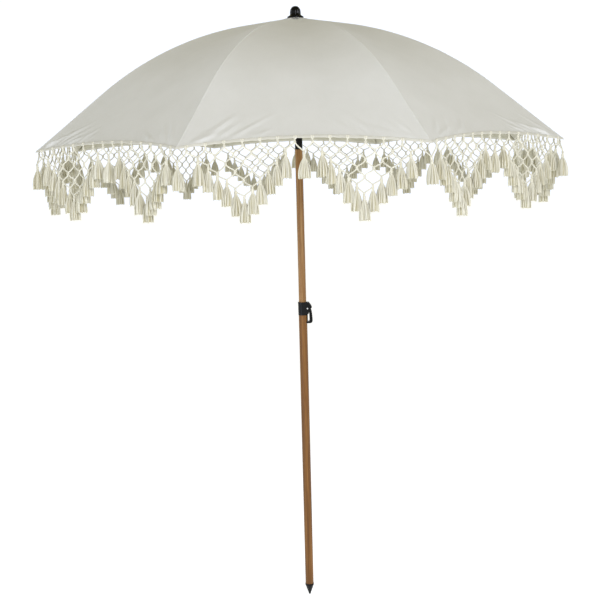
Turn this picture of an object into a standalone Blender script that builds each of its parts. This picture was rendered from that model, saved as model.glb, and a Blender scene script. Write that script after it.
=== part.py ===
"""Beach umbrella: a two-tube pole with a lever clamp, a tilt joint, and an eight-rib canopy with a fringe.

Metres, +Z up. The pole stands on the Z axis with the tip of its ground spike at the origin.
"""

import math

import bmesh
import bpy
from mathutils import Matrix, Vector

# Driving dimensions
RIBS = 8
RIB_STEP = math.tau / RIBS
FIRST_RIB = RIB_STEP / 2
RIM_R = 0.960
APEX_Z = 2.2165
CANOPY_ARC_R = 1.163
STRAIGHT_FROM_R = 0.730
CROWN_R = 0.030
CROWN_RISE = 0.012
CROWN_RISE_R = 0.200
CANOPY_BORE_R = 0.012
CLOTH_T = 0.0012
HEM_ARCH = 0.016

LOWER_R = 0.016
UPPER_R = 0.014
WALL = 0.0012
SPIKE_TOP_Z = 0.047
LOWER_TOP_Z = 1.138
UPPER_BOTTOM_Z = 0.860
CLAMP_BOTTOM_Z = 1.120
CLAMP_TOP_Z = 1.170
TILT_BOTTOM_Z = 1.744
TILT_Z = 1.815
TILT_TOP_Z = 1.870
TILT_R = 0.0142

PIVOT_R = 0.028
HUB_R = 0.0315
HUB_BELOW = 0.0075
BOSS_BELOW = 0.028
ROD_R = 0.0024
RIB_END_R = 0.948
ELBOW_R = 0.440
ELBOW_DROP = 0.007
SLOT_HALF = 0.0028
WIRE_R = 0.0009

FRINGE_T = 0.003
FRINGE_VALLEY = 0.125
FRINGE_POINT = 0.236

GAP = 0.0003
SIDES = 24
X_AXIS = Vector((1, 0, 0))
Z_AXIS = Vector((0, 0, 1))

COLOURS = {
    "oak_print": ((0.42, 0.24, 0.11), 0.45, 0.0),
    "black_plastic": ((0.012, 0.012, 0.013), 0.25, 0.0),
    "steel": ((0.62, 0.62, 0.62), 0.30, 1.0),
    "rib_steel": ((0.80, 0.79, 0.75), 0.40, 0.3),
    "canopy_cloth": ((0.72, 0.70, 0.62), 0.90, 0.0),
    "fringe_cotton": ((0.78, 0.75, 0.62), 0.95, 0.0),
}


# Shape helpers


def material(slot):
    """The slot's Principled material, made once."""
    found = bpy.data.materials.get(slot)
    if found:
        return found
    colour, roughness, metallic = COLOURS[slot]
    made = bpy.data.materials.new(slot)
    made.use_nodes = True
    shader = made.node_tree.nodes["Principled BSDF"]
    shader.inputs["Base Color"].default_value = (*colour, 1)
    shader.inputs["Roughness"].default_value = roughness
    shader.inputs["Metallic"].default_value = metallic
    made.diffuse_color = (*colour, 1)
    return made


def mesh_of(name, points, faces):
    """A mesh with outward faces from points and faces."""
    mesh = bpy.data.meshes.new(name)
    mesh.from_pydata([tuple(p) for p in points], [], faces)
    bm = bmesh.new()
    bm.from_mesh(mesh)
    bmesh.ops.recalc_face_normals(bm, faces=bm.faces)
    bm.to_mesh(mesh)
    bm.free()
    return mesh


def place(name, mesh, slot, parent=None):
    """One named object showing mesh, on its parent if it has one."""
    mesh.materials.clear()
    mesh.materials.append(material(slot))
    mesh.shade_smooth()
    mesh.set_sharp_from_angle(angle=math.radians(35))
    thing = bpy.data.objects.new(name, mesh)
    bpy.context.scene.collection.objects.link(thing)
    thing.parent = parent
    return thing


def turned(profile, sides=SIDES, flutes=0, flute_depth=0.0, flute_z=(0.0, 0.0)):
    """A closed outline of (radius, height) points spun about Z; radius 0 makes a pole of the shape."""
    points, rings = [], []
    for radius, height in profile:
        if radius == 0:
            rings.append([len(points)])
            points.append((0, 0, height))
            continue
        rings.append(list(range(len(points), len(points) + sides)))
        fluted = flutes and flute_z[0] < height < flute_z[1]
        for k in range(sides):
            angle = math.tau * k / sides
            cut = flute_depth * (0.5 - 0.5 * math.cos(flutes * angle)) if fluted else 0
            reach = radius * (1 - cut)
            points.append((reach * math.cos(angle), reach * math.sin(angle), height))
    faces = []
    for low, high in zip(rings, rings[1:] + rings[:1]):
        if len(low) == 1 and len(high) == 1:
            continue
        for k in range(sides):
            n = (k + 1) % sides
            corners = [low[k % len(low)], low[n % len(low)], high[n % len(high)], high[k % len(high)]]
            faces.append(list(dict.fromkeys(corners)))
    return mesh_of("turned", points, faces)


def rod(path, radius, sides, closed=False):
    """A round rod along a path of points, with capped ends unless it closes on itself."""
    count = len(path)
    points, faces = [], []
    for k, here in enumerate(path):
        ahead = path[(k + 1) % count] if closed or k + 1 < count else here
        behind = path[k - 1] if closed or k else here
        along = (ahead - behind).normalized()
        side = along.cross(Z_AXIS)
        side = side.normalized() if side.length > 0.1 else along.cross(X_AXIS).normalized()
        up = side.cross(along)
        for s in range(sides):
            angle = math.tau * (s + 0.5) / sides
            points.append(here + radius * (math.cos(angle) * side + math.sin(angle) * up))
    for k in range(count if closed else count - 1):
        a, b = k * sides, (k + 1) % count * sides
        faces += [[a + s, a + (s + 1) % sides, b + (s + 1) % sides, b + s] for s in range(sides)]
    if not closed:
        faces += [list(range(sides)), list(range((count - 1) * sides, count * sides))]
    return mesh_of("rod", points, faces)


def slab(outline, low, high):
    """An outline of (x, z) points made solid from y = low to y = high."""
    count = len(outline)
    points = [(x, y, z) for y in (low, high) for x, z in outline]
    faces = [list(range(count)), list(range(count, 2 * count))]
    faces += [[k, (k + 1) % count, count + (k + 1) % count, count + k] for k in range(count)]
    return mesh_of("slab", points, faces)


def arc(centre, radius, start, end, steps):
    """Points of (x, z) on a circle, from start to end in degrees."""
    angles = [math.radians(start + (end - start) * k / steps) for k in range(steps + 1)]
    return [(centre[0] + radius * math.cos(a), centre[1] + radius * math.sin(a)) for a in angles]


def disc(centre, radius, low, high, sides=16):
    """A short cylinder along Y, from y = low to y = high."""
    return slab(arc(centre, radius, 0, 360 - 360 / sides, sides - 1), low, high)


def joined(base, *steps):
    """base changed by each (operation, mesh) in turn with exact booleans."""
    scene = bpy.context.scene.collection
    work = bpy.data.objects.new("work", base)
    scene.objects.link(work)
    tools = []
    for operation, mesh in steps:
        tool = bpy.data.objects.new("tool", mesh)
        scene.objects.link(tool)
        tools.append(tool)
        change = work.modifiers.new(operation, "BOOLEAN")
        change.operation = operation
        change.object = tool
        change.solver = "EXACT"
    view = bpy.context.evaluated_depsgraph_get()
    result = bpy.data.meshes.new_from_object(work.evaluated_get(view))
    for thing in [work, *tools]:
        bpy.data.objects.remove(thing)
    return result


def plug(radius, low, high):
    """A solid cylinder standing on the axis."""
    return turned([(0, high), (radius, high), (radius, low), (0, low)])


def move_onto(mesh, at, turn_x):
    """Turn a mesh spun about Z by a quarter turn about X, so that it lies along Y, and move it."""
    mesh.transform(Matrix.Translation(at) @ Matrix.Rotation(math.radians(turn_x), 4, "X"))
    return mesh


# The canopy's form


def canopy_z(radius):
    """Height of the cloth's outer face over a rib: an arc, then straight on to the rim."""
    bent = min(radius, STRAIGHT_FROM_R)
    below = math.sqrt(CANOPY_ARC_R**2 - bent**2)
    dome = CANOPY_ARC_R - below + (radius - bent) * bent / below
    reach = min(max(radius - CROWN_R, 0) / (CROWN_RISE_R - CROWN_R), 1)
    return APEX_Z - dome - CROWN_RISE * (1 - (1 - reach) ** 2)


def canopy_normal(radius):
    """Outward normal of the cloth over a rib, as (radial, up)."""
    step = 0.0005
    fall = (canopy_z(radius - step) - canopy_z(radius + step)) / (2 * step)
    length = math.hypot(fall, 1)
    return fall / length, 1 / length


def rib_point(radius, drop=0.0):
    """Centre of the rib at +X under the cloth point at this radius, lowered by drop along the normal."""
    near = max(1 - (radius - PIVOT_R) / 0.120, 0)
    depth = 0.0072 + 0.0043 * near**2 + drop
    out, up = canopy_normal(radius)
    return Vector((radius - depth * out, 0, canopy_z(radius) - depth * up))


CROWN_PIVOT = Vector((PIVOT_R, 0, rib_point(PIVOT_R).z))
RIB_RADII = [PIVOT_R + 0.002 + (RIB_END_R - PIVOT_R - 0.002) * k / 11 for k in range(12)]
ELBOW = rib_point(ELBOW_R, ELBOW_DROP)
RUNNER_Z = 2 * ELBOW.z - CROWN_PIVOT.z


def panel_point(radius, share):
    """A cloth point between the rib at +X (share 0) and its neighbour (share 1), hem arched between them."""
    side = math.copysign(RIB_STEP, share)
    share = abs(share)
    radius = radius * (1 - HEM_ARCH * 4 * share * (1 - share) * radius / RIM_R)
    own = Vector((radius, 0, 0))
    next_rib = Vector((radius * math.cos(side), radius * math.sin(side), 0))
    point = own.lerp(next_rib, share)
    point.z = canopy_z(radius)
    if share > 0.499:
        seam = Vector((math.sin(side / 2), -math.cos(side / 2), 0)) * math.copysign(1, side)
        point += seam * GAP / 2
    return point


# Pole and ground spike


def tube(outer, low, high):
    """A thin round tube standing on the axis."""
    inner = outer - WALL
    return turned([(outer, high), (outer, low), (inner, low), (inner, high)])


def ground_spike():
    """Cone that goes into the sand, with a spigot up inside the lower tube."""
    nose = 0.0031
    tip = [(nose * math.cos(a), nose - nose * math.sin(a)) for a in (0.35, 0.8, 1.2)]
    spigot = LOWER_R - WALL - GAP
    plugged = [(0, 0.085), (spigot, 0.085), (spigot, SPIKE_TOP_Z)]
    collar = [(0.0170, SPIKE_TOP_Z), (0.0172, 0.0405), (0.0160, 0.0385)]
    return turned(plugged + collar + tip + [(0, 0)])


def guide_bush():
    """Plastic plug on the upper tube's foot that slides in the lower tube."""
    bore, spigot, outer = 0.005, UPPER_R - WALL - GAP, LOWER_R - WALL - GAP
    low, step, high = UPPER_BOTTOM_Z - 0.015, UPPER_BOTTOM_Z - GAP, UPPER_BOTTOM_Z + 0.030
    return turned([(spigot, high), (spigot, step), (outer, step), (outer, low), (bore, low), (bore, high)])


# Height clamp

CLAMP_PIN = (0.0175, 1.146)
EAR_IN, EAR_OUT = 0.0043, 0.0125


def clamp_collar():
    """Collar round both tubes, split at one side, with two ears for the lever and a tongue under it."""
    low, high = CLAMP_BOTTOM_Z, CLAMP_TOP_Z
    outside = [(0.0178, high), (0.0182, high - 0.003), (0.0175, high - 0.008), (0.0172, low)]
    body = turned(outside + [(0.011, low), (0.011, high)])
    ear = [(0.0100, low + 0.004), (0.0205, low + 0.004), (0.0236, low + 0.011), (0.0242, low + 0.022)]
    ear += [(0.0335, low + 0.0275), (0.0345, low + 0.032), (0.0325, low + 0.037)]
    ear += [(0.0235, high - 0.001), (0.0100, high - 0.001)]
    tongue = [(0.0155, low + 0.006), (0.0155, 1.099), (0.0178, 1.097), (0.0184, 1.100), (0.0184, low + 0.006)]
    window = [(0.0, 1.130), (0.04, 1.130), (0.04, high + 0.01), (0.0, high + 0.01)]
    lower_bore = plug(LOWER_R + GAP, low - 0.05, LOWER_TOP_Z + GAP)
    upper_bore = plug(UPPER_R + GAP, low + 0.01, high + 0.01)
    return joined(
        body,
        ("UNION", slab(ear, -EAR_OUT, -EAR_IN)),
        ("UNION", slab(ear, EAR_IN, EAR_OUT)),
        ("UNION", slab(tongue, -0.0042, 0.0042)),
        ("DIFFERENCE", lower_bore),
        ("DIFFERENCE", upper_bore),
        ("DIFFERENCE", slab(window, -EAR_IN, EAR_IN)),
        ("DIFFERENCE", disc(CLAMP_PIN, 0.00165, -0.02, 0.02, 12)),
    )


def clamp_pin():
    """Rivet through both ears and the lever, with a domed head at each end."""
    shank, head, end = 0.0015, 0.0030, EAR_OUT + 0.0002
    mesh = turned(
        [(0, end + 0.0016), (0.0018, end + 0.0014), (head, end + 0.0006), (head, end), (shank, end)]
        + [(shank, -end), (head, -end), (head, -end - 0.0006), (0.0018, -end - 0.0014), (0, -end - 0.0016)],
        12,
    )
    return move_onto(mesh, (CLAMP_PIN[0], 0, CLAMP_PIN[1]), -90)


def clamp_lever():
    """J-shaped lever: a cam between the ears, and a wide handle that curls in to the tube below them."""
    head = arc(CLAMP_PIN, 0.0029, 100, 260, 6)
    inner = [(0.0225, 1.1385), (0.0240, 1.128), (0.0247, 1.110)]
    curl_in = arc((0.0205, 1.1000), 0.0042, 0, -90, 4)
    curl_out = arc((0.0262, 1.0990), 0.0103, -90, 0, 5)
    outer = [(0.0362, 1.112), (0.0345, 1.130), (0.0325, 1.141), (0.0270, 1.1495)]
    profile = head + inner + curl_in + [(0.0100, 1.0950), (0.0100, 1.0888)] + curl_out + outer
    whole = slab(profile, -0.0105, 0.0105)
    beside = [(0.0, 1.1215), (0.05, 1.1215), (0.05, 1.16), (0.0, 1.16)]
    around_tube = plug(LOWER_R + 0.0005, CLAMP_BOTTOM_Z - 0.1, CLAMP_TOP_Z)
    return joined(
        whole,
        ("DIFFERENCE", slab(beside, 0.0040, 0.02)),
        ("DIFFERENCE", slab(beside, -0.02, -0.0040)),
        ("DIFFERENCE", around_tube),
        ("DIFFERENCE", disc(CLAMP_PIN, 0.00165, -0.02, 0.02, 12)),
    )


# Tilt joint

BUTTON_Z = 1.797
TONGUE_HALF = 0.0050
FORK_HALF = 0.0053


def tilt_socket():
    """Lower half: a spigot in the upper tube and a fork whose ears carry the tilt pin."""
    spigot, floor = UPPER_R - WALL - GAP, 1.788
    foot, top, clear = TILT_BOTTOM_Z - 0.042, 1.832, 1.85
    profile = [(spigot, foot), (0, foot), (0, top), (TILT_R, top)]
    body = turned(profile + [(TILT_R, TILT_BOTTOM_Z), (spigot, TILT_BOTTOM_Z)])
    ears = arc((0, TILT_Z), 0.0122, 180, 0, 10)
    round_top = [(-0.03, TILT_Z), *ears, (0.03, TILT_Z), (0.03, clear), (-0.03, clear)]
    slot = [(-0.03, floor), (0.03, floor), (0.03, clear), (-0.03, clear)]
    return joined(
        body,
        ("DIFFERENCE", slab(round_top, -0.03, 0.03)),
        ("DIFFERENCE", slab(slot, -FORK_HALF, FORK_HALF)),
        ("DIFFERENCE", disc((0, TILT_Z), 0.00315, -0.03, 0.03, 12)),
        ("DIFFERENCE", disc((0, BUTTON_Z), 0.0044, -0.03, -0.0075, 12)),
        ("DIFFERENCE", disc((0, BUTTON_Z), 0.0023, -0.03, 0.0, 12)),
    )


def tilt_knuckle():
    """Upper half: a round-ended tongue in the fork, and a spigot up inside the top tube."""
    spigot, shoulder = UPPER_R - WALL - GAP, 1.836
    top = TILT_TOP_Z + 0.040
    profile = [(spigot, top), (spigot, TILT_TOP_Z), (TILT_R, TILT_TOP_Z)]
    body = turned(profile + [(TILT_R, shoulder), (0, shoulder), (0, top)])
    tongue = arc((0, TILT_Z), 0.0115, 180, 360, 8) + [(0.0115, shoulder + 0.004), (-0.0115, shoulder + 0.004)]
    return joined(
        body,
        ("UNION", slab(tongue, -TONGUE_HALF, TONGUE_HALF)),
        ("DIFFERENCE", disc((0, TILT_Z), 0.00315, -0.03, 0.03, 12)),
    )


def tilt_pin():
    """Plain pin through the fork and the tongue, flush with both ears."""
    return disc((0, TILT_Z), 0.0030, -0.0138, 0.0138, 12)


def tilt_button():
    """Push button with a stem through the front ear."""
    head, stem, face, step, end = 0.0040, 0.0020, 0.0151, 0.0125, 0.0065
    cap = [(0, face), (0.0036, face), (head, face - 0.0005), (head, step)]
    return move_onto(turned(cap + [(stem, step), (stem, end), (0, end)], 12), (0, 0, BUTTON_Z), 90)


def tilt_spring():
    """Coil spring round the button's stem."""
    turns, per_turn, start, length = 4, 8, -0.0121, 0.0040
    path = []
    for k in range(turns * per_turn + 1):
        angle = math.tau * k / per_turn
        y = start + length * k / (turns * per_turn)
        path.append(Vector((0.0031 * math.cos(angle), y, BUTTON_Z + 0.0031 * math.sin(angle))))
    return rod(path, 0.0003, 4)


# Crown, runner and finial


def notched_ring(profile, low, high):
    """A turned hub with a radial slot for each rib or stretcher and a groove for its wire."""
    steps = []
    for k in range(RIBS):
        slot = slab([(0.0205, low), (0.04, low), (0.04, high), (0.0205, high)], -SLOT_HALF, SLOT_HALF)
        slot.transform(Matrix.Rotation(FIRST_RIB + k * RIB_STEP, 4, "Z"))
        steps.append(("DIFFERENCE", slot))
    return joined(turned(profile), *steps)


def groove(z):
    """Outline of the wire's groove in a hub's rim."""
    floor, half = PIVOT_R - 0.0015, WIRE_R + 0.0004
    return [(HUB_R, z + half), (floor, z + half), (floor, z - half), (HUB_R, z - half)]


def crown_hub():
    """Notched hub on top of the pole that the ribs hinge in."""
    z, spigot = CROWN_PIVOT.z, UPPER_R - WALL - GAP
    high, low = z + 0.0077, z - HUB_BELOW
    profile = [(0.0300, high), (HUB_R, high - 0.0015), *groove(z), (HUB_R, low + 0.001), (0.0300, low)]
    profile += [(spigot, low), (spigot, low - 0.030), (0.0050, low - 0.030), (0.0050, high)]
    return notched_ring(profile, low - 0.001, high + 0.001)


def runner():
    """Sliding collar with a notched rim that the stretchers hinge in, and a boss for its button."""
    z, bore, outer = RUNNER_Z, 0.0158, 0.0195
    low, high = z - 0.045, z + 0.008
    profile = [(0.0300, high), (HUB_R, high - 0.0015), *groove(z), (HUB_R, z - 0.0065), (0.0300, z - 0.008)]
    profile += [(outer, z - 0.010), (outer, low + 0.002), (outer - 0.001, low), (bore, low), (bore, high)]
    ring = notched_ring(profile, z - 0.0095, high + 0.001)
    boss_at = (0, z - BOSS_BELOW)
    return joined(
        ring,
        ("UNION", disc(boss_at, 0.0080, -0.0260, -0.0172, 16)),
        ("DIFFERENCE", disc(boss_at, 0.0054, -0.03, -0.0176, 16)),
    )


def runner_button():
    """Push button in the runner's boss."""
    radius, face, end = 0.0050, 0.0285, 0.0212
    profile = [(0, face), (radius - 0.0008, face), (radius, face - 0.001), (radius, end), (0, end)]
    return move_onto(turned(profile, 16), (0, 0, RUNNER_Z - BOSS_BELOW), 90)


def wire_ring(z):
    """Steel wire bent into a ring through all eight eyes."""
    angles = [math.tau * (k + 0.5) / SIDES for k in range(SIDES)]
    path = [Vector((PIVOT_R * math.cos(a), PIVOT_R * math.sin(a), z)) for a in angles]
    return rod(path, WIRE_R, 5, closed=True)


def finial():
    """Domed, fluted cap with a round flange, and a stem down into the crown."""
    flange, z = 0.02975, 2.2183
    stem, foot = 0.0046, 2.175
    dome = [(0, 2.2620), (0.0060, 2.2612), (0.0110, 2.2590), (0.0160, 2.2535), (0.0190, 2.2460)]
    waist = [(0.0195, 2.2390), (0.0180, 2.2310), (0.0150, 2.2275), (0.0270, 2.2260)]
    rim = [(flange, 2.2240), (flange, 2.2200), (flange - 0.0012, z), (stem, z), (stem, foot), (0, foot)]
    return turned(dome + waist + rim, 32, flutes=8, flute_depth=0.10, flute_z=(2.229, 2.258))


def top_patch():
    """Round reinforcing patch of cloth between the canopy and the finial."""
    radii = [0.0055, CROWN_R, 0.045]
    upper = [(r, canopy_z(r) + 0.0012) for r in radii]
    lower = [(r, canopy_z(r) + 0.0004) for r in reversed(radii)]
    return turned(list(reversed(upper)) + list(reversed(lower)))


# Ribs, stretchers, cloth and fringe; each is drawn at +X and turned to its place


def eye(centre, bore):
    """Flat eye on a rod's end, as a disc and the hole to cut in it."""
    at = (centre.x, centre.z)
    return disc(at, 0.0035, -ROD_R, ROD_R, 10), disc(at, bore, -0.01, 0.01, 8)


def rib():
    """Curved rod with an eye at the crown and a pinned bracket for the stretcher."""
    body, hole = eye(CROWN_PIVOT, 0.0013)
    out, up = canopy_normal(ELBOW_R)
    along = Vector((up, 0, -out))
    down = Vector((-out, 0, -up))
    centre = rib_point(ELBOW_R)
    angles = [math.radians(20 + 140 * k / 6) for k in range(7)]
    lobe = [ELBOW + 0.0036 * (math.cos(a) * along + math.sin(a) * down) for a in angles]
    outline = [centre + 0.008 * along - 0.001 * down, *lobe, centre - 0.008 * along - 0.001 * down]
    notch_corners = ((-0.02, 0.0028), (0.02, 0.0028), (0.02, 0.02), (-0.02, 0.02))
    notch = [centre + u * along + v * down for u, v in notch_corners]
    bracket = joined(
        slab([(p.x, p.z) for p in outline], -0.0043, 0.0043),
        ("DIFFERENCE", slab([(p.x, p.z) for p in notch], -SLOT_HALF, SLOT_HALF)),
        ("UNION", disc((ELBOW.x, ELBOW.z), 0.0011, -0.0046, 0.0046, 10)),
    )
    return joined(
        rod([rib_point(r) for r in RIB_RADII], ROD_R, 6),
        ("UNION", body),
        ("DIFFERENCE", hole),
        ("UNION", bracket),
    )


def rib_tip():
    """Plastic cap on the rib's outer end."""
    before, end = (rib_point(r) for r in RIB_RADII[-2:])
    bore = ROD_R + GAP
    nose = [(0, 0.0040), (0.0022, 0.0034), (0.0034, 0.0016), (0.0034, -0.020)]
    mesh = turned(nose + [(bore, -0.020), (bore, GAP), (0, GAP)], 12)
    lean = Z_AXIS.rotation_difference(end - before).to_matrix().to_4x4()
    mesh.transform(Matrix.Translation(end) @ lean)
    return mesh


def stretcher():
    """Straight strut from the runner to the rib's bracket, with an eye at each end."""
    inner = Vector((PIVOT_R, 0, RUNNER_Z))
    along = (ELBOW - inner).normalized()
    low_eye, low_hole = eye(inner, 0.0013)
    high_eye, high_hole = eye(ELBOW, 0.0014)
    return joined(
        rod([inner + 0.002 * along, ELBOW - 0.002 * along], ROD_R, 6),
        ("UNION", low_eye),
        ("UNION", high_eye),
        ("DIFFERENCE", low_hole),
        ("DIFFERENCE", high_hole),
    )


def sheet(rows, down):
    """A closed skin: rows of points, and the same rows moved down."""
    across, count = len(rows[0]), len(rows)
    upper = [p for row in rows for p in row]
    points = upper + [p - Vector((0, 0, down)) for p in upper]
    under = len(upper)
    faces = []
    for r in range(count - 1):
        for c in range(across - 1):
            k = r * across + c
            top = [k, k + 1, k + across + 1, k + across]
            faces += [top, [under + i for i in reversed(top)]]
    edge = list(range(across))
    edge += [r * across + across - 1 for r in range(1, count)]
    edge += [(count - 1) * across + c for c in range(across - 2, -1, -1)]
    edge += [r * across for r in range(count - 2, 0, -1)]
    for a, b in zip(edge, edge[1:] + edge[:1]):
        faces.append([a, b, under + b, under + a])
    return mesh_of("sheet", points, faces)


PANEL_SHARES = [-0.5, -0.375, -0.25, -0.125, 0.0, 0.125, 0.25, 0.375, 0.5]


def canopy_gore():
    """Cloth over one rib, out to the middle of the panel on each side."""
    radii = [CANOPY_BORE_R, CROWN_R] + [CROWN_R + (RIM_R - CROWN_R) * k / 8 for k in range(1, 9)]
    return sheet([[panel_point(r, s) for s in PANEL_SHARES] for r in radii], CLOTH_T)


def fringe():
    """Two points of the knotted fringe, one each side of the rib, as one thin curtain under the hem."""
    count = len(PANEL_SHARES)
    tops = [panel_point(RIM_R, s) - Vector((0, 0, CLOTH_T + GAP)) for s in PANEL_SHARES]
    points = []
    for top, share in zip(tops, PANEL_SHARES):
        outward = math.hypot(top.x, top.y)
        inner = Vector((top.x, top.y, 0)) * (1 - FRINGE_T / outward)
        fall = FRINGE_POINT - (FRINGE_POINT - FRINGE_VALLEY) * abs(abs(share) - 0.25) / 0.25
        points += [top, Vector((inner.x, inner.y, top.z))]
        points += [Vector((inner.x, inner.y, top.z - fall)), top - Vector((0, 0, fall))]
    faces = [[0, 1, 2, 3], [4 * count - 4 + k for k in range(4)]]
    for k in range(count - 1):
        faces += [[4 * k + s, 4 * k + (s + 1) % 4, 4 * k + 4 + (s + 1) % 4, 4 * k + 4 + s] for s in range(4)]
    return mesh_of("fringe", points, faces)


# Assembly


def pivot(name, at, parent=None, turn=0.0):
    """An empty on a joint's axis, for the pieces that move with it."""
    empty = bpy.data.objects.new(name, None)
    bpy.context.scene.collection.objects.link(empty)
    empty.location = at
    empty.rotation_euler.z = turn
    empty.parent = parent
    return empty


def hang(empty, name, mesh, slot):
    """Place a mesh drawn in world coordinates on its joint's empty."""
    bpy.context.view_layer.update()
    mesh.transform(empty.matrix_world.inverted())
    return place(name, mesh, slot, empty)


def build_pole():
    """Lower tube, clamp and upper tube, up to the fork of the tilt joint."""
    place("ground_spike", ground_spike(), "black_plastic")
    place("lower_pole", tube(LOWER_R, SPIKE_TOP_Z + GAP, LOWER_TOP_Z), "oak_print")
    place("clamp_collar", clamp_collar(), "black_plastic")
    place("clamp_pin", clamp_pin(), "steel")
    lever_axis = pivot("lever_axis", (CLAMP_PIN[0], 0, CLAMP_PIN[1]))
    hang(lever_axis, "clamp_lever", clamp_lever(), "black_plastic")
    place("upper_pole", tube(UPPER_R, UPPER_BOTTOM_Z, TILT_BOTTOM_Z - GAP), "oak_print")
    place("pole_guide_bush", guide_bush(), "black_plastic")
    place("tilt_socket", tilt_socket(), "black_plastic")
    place("tilt_pin", tilt_pin(), "steel")
    place("tilt_spring", tilt_spring(), "steel")
    button_axis = pivot("tilt_button_axis", (0, 0, BUTTON_Z))
    hang(button_axis, "tilt_button", tilt_button(), "black_plastic")


def build_head():
    """What tilts: the knuckle, the top tube, the crown and the finial."""
    tilt_axis = pivot("tilt_axis", (0, 0, TILT_Z))
    crown_low = CROWN_PIVOT.z - HUB_BELOW
    hang(tilt_axis, "tilt_knuckle", tilt_knuckle(), "black_plastic")
    hang(tilt_axis, "top_pole", tube(UPPER_R, TILT_TOP_Z + GAP, crown_low - GAP), "oak_print")
    hang(tilt_axis, "crown_hub", crown_hub(), "black_plastic")
    hang(tilt_axis, "crown_wire", wire_ring(CROWN_PIVOT.z), "steel")
    hang(tilt_axis, "top_patch", top_patch(), "canopy_cloth")
    hang(tilt_axis, "finial", finial(), "black_plastic")


def build_runner():
    """The runner, on the inner eye of the first stretcher."""
    inner_eye = Vector((PIVOT_R, 0, RUNNER_Z))
    runner_axis = pivot("runner_axis", Matrix.Rotation(FIRST_RIB, 3, "Z") @ inner_eye)
    hang(runner_axis, "runner", runner(), "black_plastic")
    hang(runner_axis, "runner_wire", wire_ring(RUNNER_Z), "steel")
    button_axis = pivot("runner_button_axis", (0, 0, RUNNER_Z - BOSS_BELOW))
    hang(button_axis, "runner_button", runner_button(), "black_plastic")


def build_ribs():
    """Eight equal sets of a rib, its cap, a stretcher, and their cloth and fringe."""
    hem_corner = Vector((RIM_R, 0, canopy_z(RIM_R)))
    sets = [
        ("rib", rib(), "rib_steel", CROWN_PIVOT),
        ("rib_tip", rib_tip(), "black_plastic", CROWN_PIVOT),
        ("canopy", canopy_gore(), "canopy_cloth", CROWN_PIVOT),
        ("stretcher", stretcher(), "rib_steel", ELBOW),
        ("fringe", fringe(), "fringe_cotton", hem_corner),
    ]
    for _, mesh, _, joint_at in sets:
        mesh.transform(Matrix.Translation(-joint_at))
    for number in range(1, RIBS + 1):
        turn = FIRST_RIB + (number - 1) * RIB_STEP
        rib_axis = pivot(f"rib_axis_{number}", Matrix.Rotation(turn, 3, "Z") @ CROWN_PIVOT, turn=turn)
        for name, mesh, slot, joint_at in sets:
            axis = rib_axis
            if joint_at != CROWN_PIVOT:
                axis = pivot(f"{name}_axis_{number}", joint_at - CROWN_PIVOT, rib_axis)
            place(f"{name}_{number}", mesh, slot, axis)


def main():
    for thing in list(bpy.data.objects):
        bpy.data.objects.remove(thing)
    build_pole()
    build_head()
    build_runner()
    build_ribs()


main()
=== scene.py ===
"""A beach umbrella with a macrame fringe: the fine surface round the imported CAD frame, in metres, +Z up.

Each canopy gore, net and tassel group is drawn on a rib that points along +X, and then turned to its own rib.
"""

import math
import random

import bmesh
import bpy
import numpy as np
from mathutils import Matrix, Vector


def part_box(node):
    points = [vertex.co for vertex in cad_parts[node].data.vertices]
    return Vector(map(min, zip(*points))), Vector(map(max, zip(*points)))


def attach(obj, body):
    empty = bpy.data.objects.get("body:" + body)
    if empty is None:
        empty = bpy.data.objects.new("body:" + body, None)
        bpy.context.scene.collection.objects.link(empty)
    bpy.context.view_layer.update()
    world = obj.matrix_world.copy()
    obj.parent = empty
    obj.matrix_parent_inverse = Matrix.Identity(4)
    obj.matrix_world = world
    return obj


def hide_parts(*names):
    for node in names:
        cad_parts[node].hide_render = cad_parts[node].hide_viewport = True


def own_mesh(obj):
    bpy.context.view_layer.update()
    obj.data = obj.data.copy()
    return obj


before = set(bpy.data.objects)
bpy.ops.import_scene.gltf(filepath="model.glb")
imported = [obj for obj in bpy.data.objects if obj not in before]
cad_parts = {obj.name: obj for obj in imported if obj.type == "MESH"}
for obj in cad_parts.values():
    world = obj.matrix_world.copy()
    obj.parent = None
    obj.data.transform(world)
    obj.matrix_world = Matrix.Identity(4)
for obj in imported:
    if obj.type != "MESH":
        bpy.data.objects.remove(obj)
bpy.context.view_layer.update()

# Sizes that the CAD shares

RIBS = 8
RIB_STEP = math.tau / RIBS
FIRST_RIB = RIB_STEP / 2
RIM_R = 0.960
APEX_Z = 2.2165
CANOPY_ARC_R = 1.163
STRAIGHT_FROM_R = 0.730
CROWN_R = 0.030
CROWN_RISE = 0.012
CROWN_RISE_R = 0.200
CANOPY_BORE_R = 0.012
PIVOT_R = 0.028
ELBOW_R = 0.440
ELBOW_DROP = 0.007
ROD_R = 0.0024
EYE_R = 0.0035
ROD_DEPTH = 0.0072
CROWN_DEPTH = 0.0043
CROWN_DEPTH_R = 0.120
RIB_END_R = 0.948
WIRE_R = 0.0009

# The cloth

CLOTH_T = 0.0007
SAG = 0.013
HEM_ARCH = 0.031
HEM_SLOPE = 1.28
FOLD_SEED = 1531
FOLD_HIGH = 0.0058
HATCH_HIGH = 0.0034
TAPE_HIGH = 0.0105
TAPE_THICK = 0.0023
SEAM_WIDE = 0.0070
STITCH_LONG = 0.0034
STITCH_PITCH = 0.0052
CLOTH_PER_RADIUS = 1.12
PATCH_R = 0.047
PATCH_BORE_R = 0.006

# The fringe: a V of knots under each half of a panel

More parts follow.
